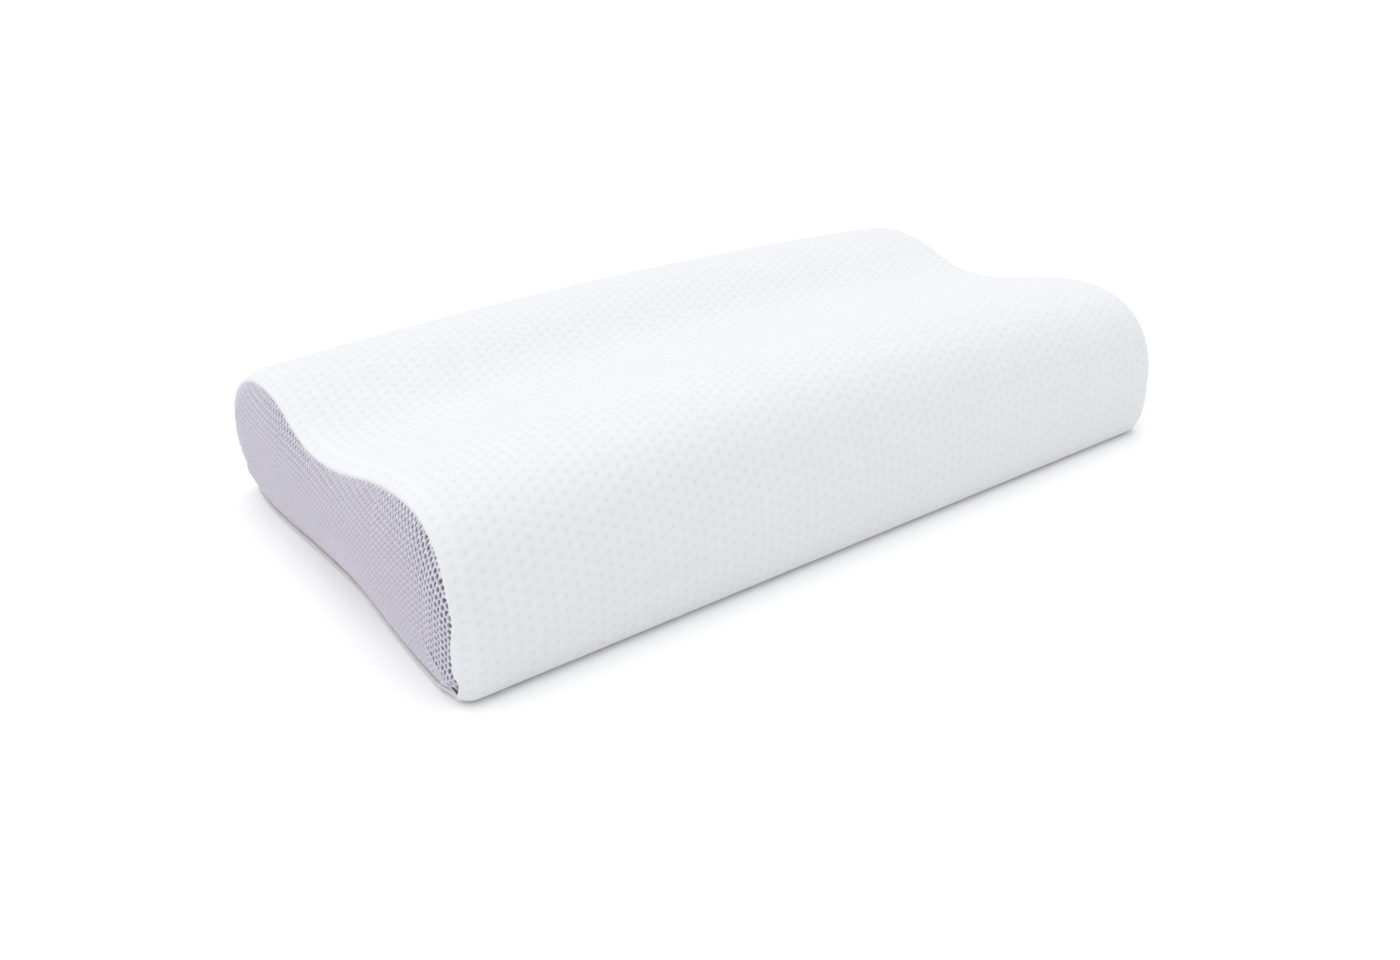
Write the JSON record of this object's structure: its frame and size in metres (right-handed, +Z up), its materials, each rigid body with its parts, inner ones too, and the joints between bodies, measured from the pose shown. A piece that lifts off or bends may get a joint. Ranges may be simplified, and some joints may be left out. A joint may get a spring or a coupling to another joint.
{
  "type": "contour bed pillow",
  "caption": "Contour foam bed pillow with a tall front lobe, a neck dip and a lower rear lobe, in a white knit zip-off cover with grey mesh end panels.",
  "frame": {"origin": "centre of the flat base that the pillow rests on", "axes": "+X along the pillow's length towards its hidden end, -Y towards the tall front lobe, +Y towards the lower lobe and the zip, +Z up"},
  "size_m": [0.6, 0.3491, 0.121],
  "materials": {
    "cover_knit": "matt jacquard double knit with small dimples",
    "underside": "matt knit",
    "spacer_mesh": "three-dimensional spacer mesh with staggered diamond holes",
    "binding": "folded knit tape",
    "liner": "thin plain knit",
    "foam": "open-cell moulded foam",
    "zip_tape": "herringbone woven tape",
    "zip_coil": "moulded nylon monofilament",
    "zip_metal": "nickel plated",
    "label": "satin ribbon"
  },
  "bodies": {
    "pillow": {"foam_core": "foam", "liner_sleeve": "liner", "liner_end_left": "liner", "liner_end_right": "liner", "cover_main_panel": "cover_knit", "cover_bottom_panel": "underside", "end_panel_left": "spacer_mesh", "end_panel_right": "spacer_mesh", "base_binding_left": "binding", "base_binding_right": "binding", "zip_tape_upper": "zip_tape", "zip_tape_lower": "zip_tape", "zip_coil_upper": "zip_coil", "zip_coil_lower": "zip_coil", "zip_bottom_stop": "zip_metal", "zip_top_stop_upper": "zip_metal", "zip_top_stop_lower": "zip_metal"},
    "zip_slider": {"zip_slider": "zip_metal"},
    "zip_pull": {"zip_pull_tab": "zip_metal"},
    "care_label": {"care_label": "label"}
  },
  "joints": [
    {"name": "zip_slide", "type": "slide", "parent": "pillow", "child": "zip_slider", "axis": [-1, 0, 0], "range_m": [0, 0.47]},
    {"name": "zip_tab_swing", "type": "hinge", "parent": "zip_slider", "child": "zip_pull", "pos_m": [0.2353, 0.17445, 0.033], "axis": [0, 0, -1], "range_deg": [0, 180]},
    {"name": "care_label_fold", "type": "hinge", "parent": "pillow", "child": "care_label", "pos_m": [0.28, 0.17315, 0.033], "axis": [1, 0, 0], "range_deg": [0, 165]}
  ]
}
